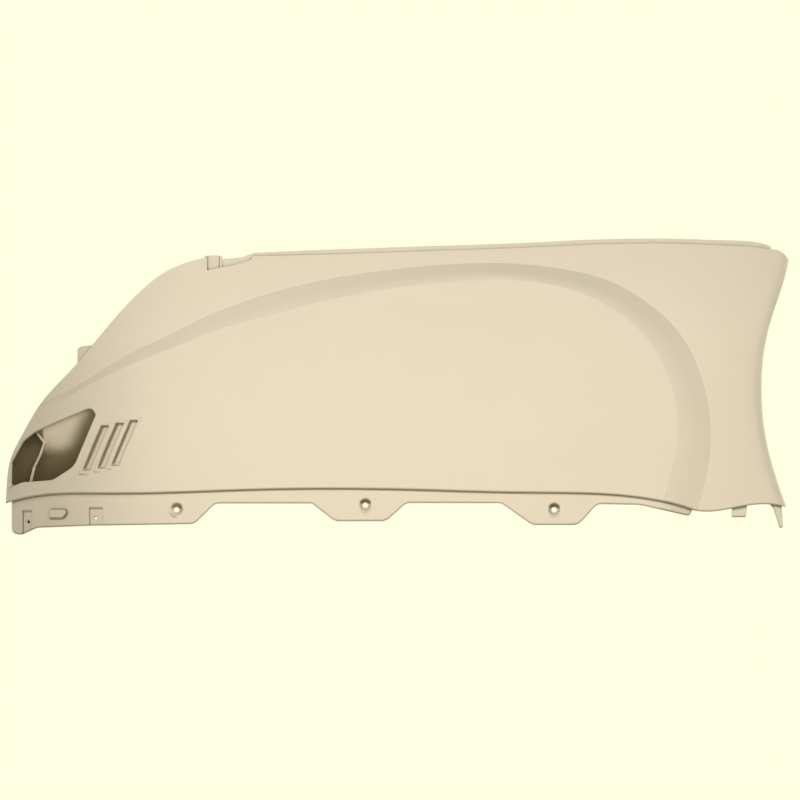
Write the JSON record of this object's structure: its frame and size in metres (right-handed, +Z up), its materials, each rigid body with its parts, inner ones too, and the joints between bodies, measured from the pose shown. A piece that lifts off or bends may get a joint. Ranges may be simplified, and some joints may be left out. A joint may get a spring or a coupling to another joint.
{
  "type": "scooter side panel",
  "caption": "Right-hand rear side cowl of a classic-style scooter, one moulded panel with a raised bulge, a stepped lower screw flange and a lamp seat at the tail",
  "frame": {"origin": "centre of the middle screw hole, on the back of its boss", "axes": "+X towards the front of the scooter, +Y inward to the frame, +Z up; the painted face looks along -Y"},
  "size_m": [0.7864, 0.155, 0.2972],
  "materials": {
    "panel": "glossy cream paint on moulded plastic, bare dark plastic inside"
  },
  "bodies": {
    "root": {"side_panel": "panel"}
  },
  "joints": []
}
